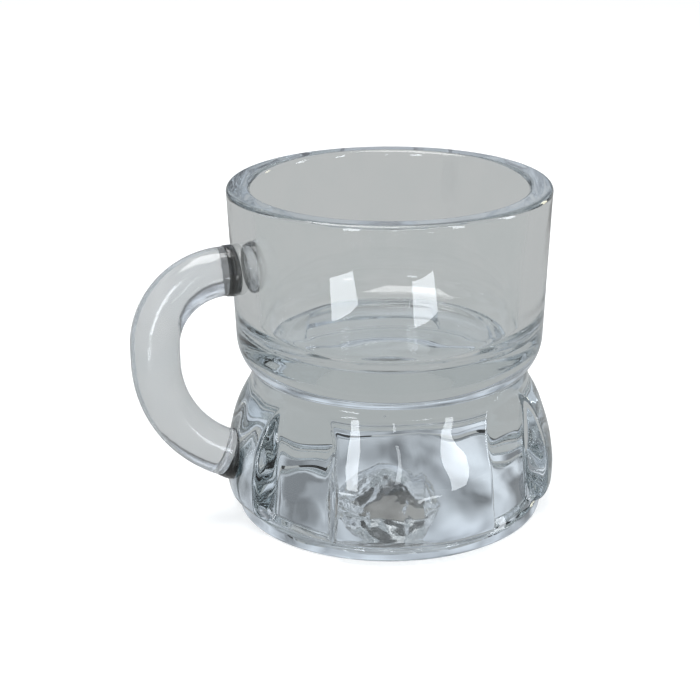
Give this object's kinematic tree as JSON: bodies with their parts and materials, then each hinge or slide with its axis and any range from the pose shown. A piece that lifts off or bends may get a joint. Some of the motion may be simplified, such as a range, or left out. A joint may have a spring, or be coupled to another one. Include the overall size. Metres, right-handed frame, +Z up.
{
  "type": "shaving mug",
  "caption": "Pressed-glass shaving mug: round thick-walled cup on a solid bell-shaped foot with four broad lobes and four arched flutes, and a frosted glass rod handle fused on at the side.",
  "frame": {"origin": "on the mug's axis, in the plane of the table that the foot ring stands on", "axes": "+Z up along the mug's axis; the handle points along -X; Y runs across the mug"},
  "size_m": [0.1134, 0.089, 0.0878],
  "materials": {
    "clear_glass": "clear pressed glass, fire-polished, very slightly grey",
    "frosted_glass": "milky, softly frosted glass rod",
    "seam_glass": "clear dark glass where the rod is fused on"
  },
  "bodies": {
    "root": {"mug_body": "clear_glass", "handle": "frosted_glass", "upper_joint": "seam_glass", "lower_joint": "seam_glass"}
  },
  "joints": []
}
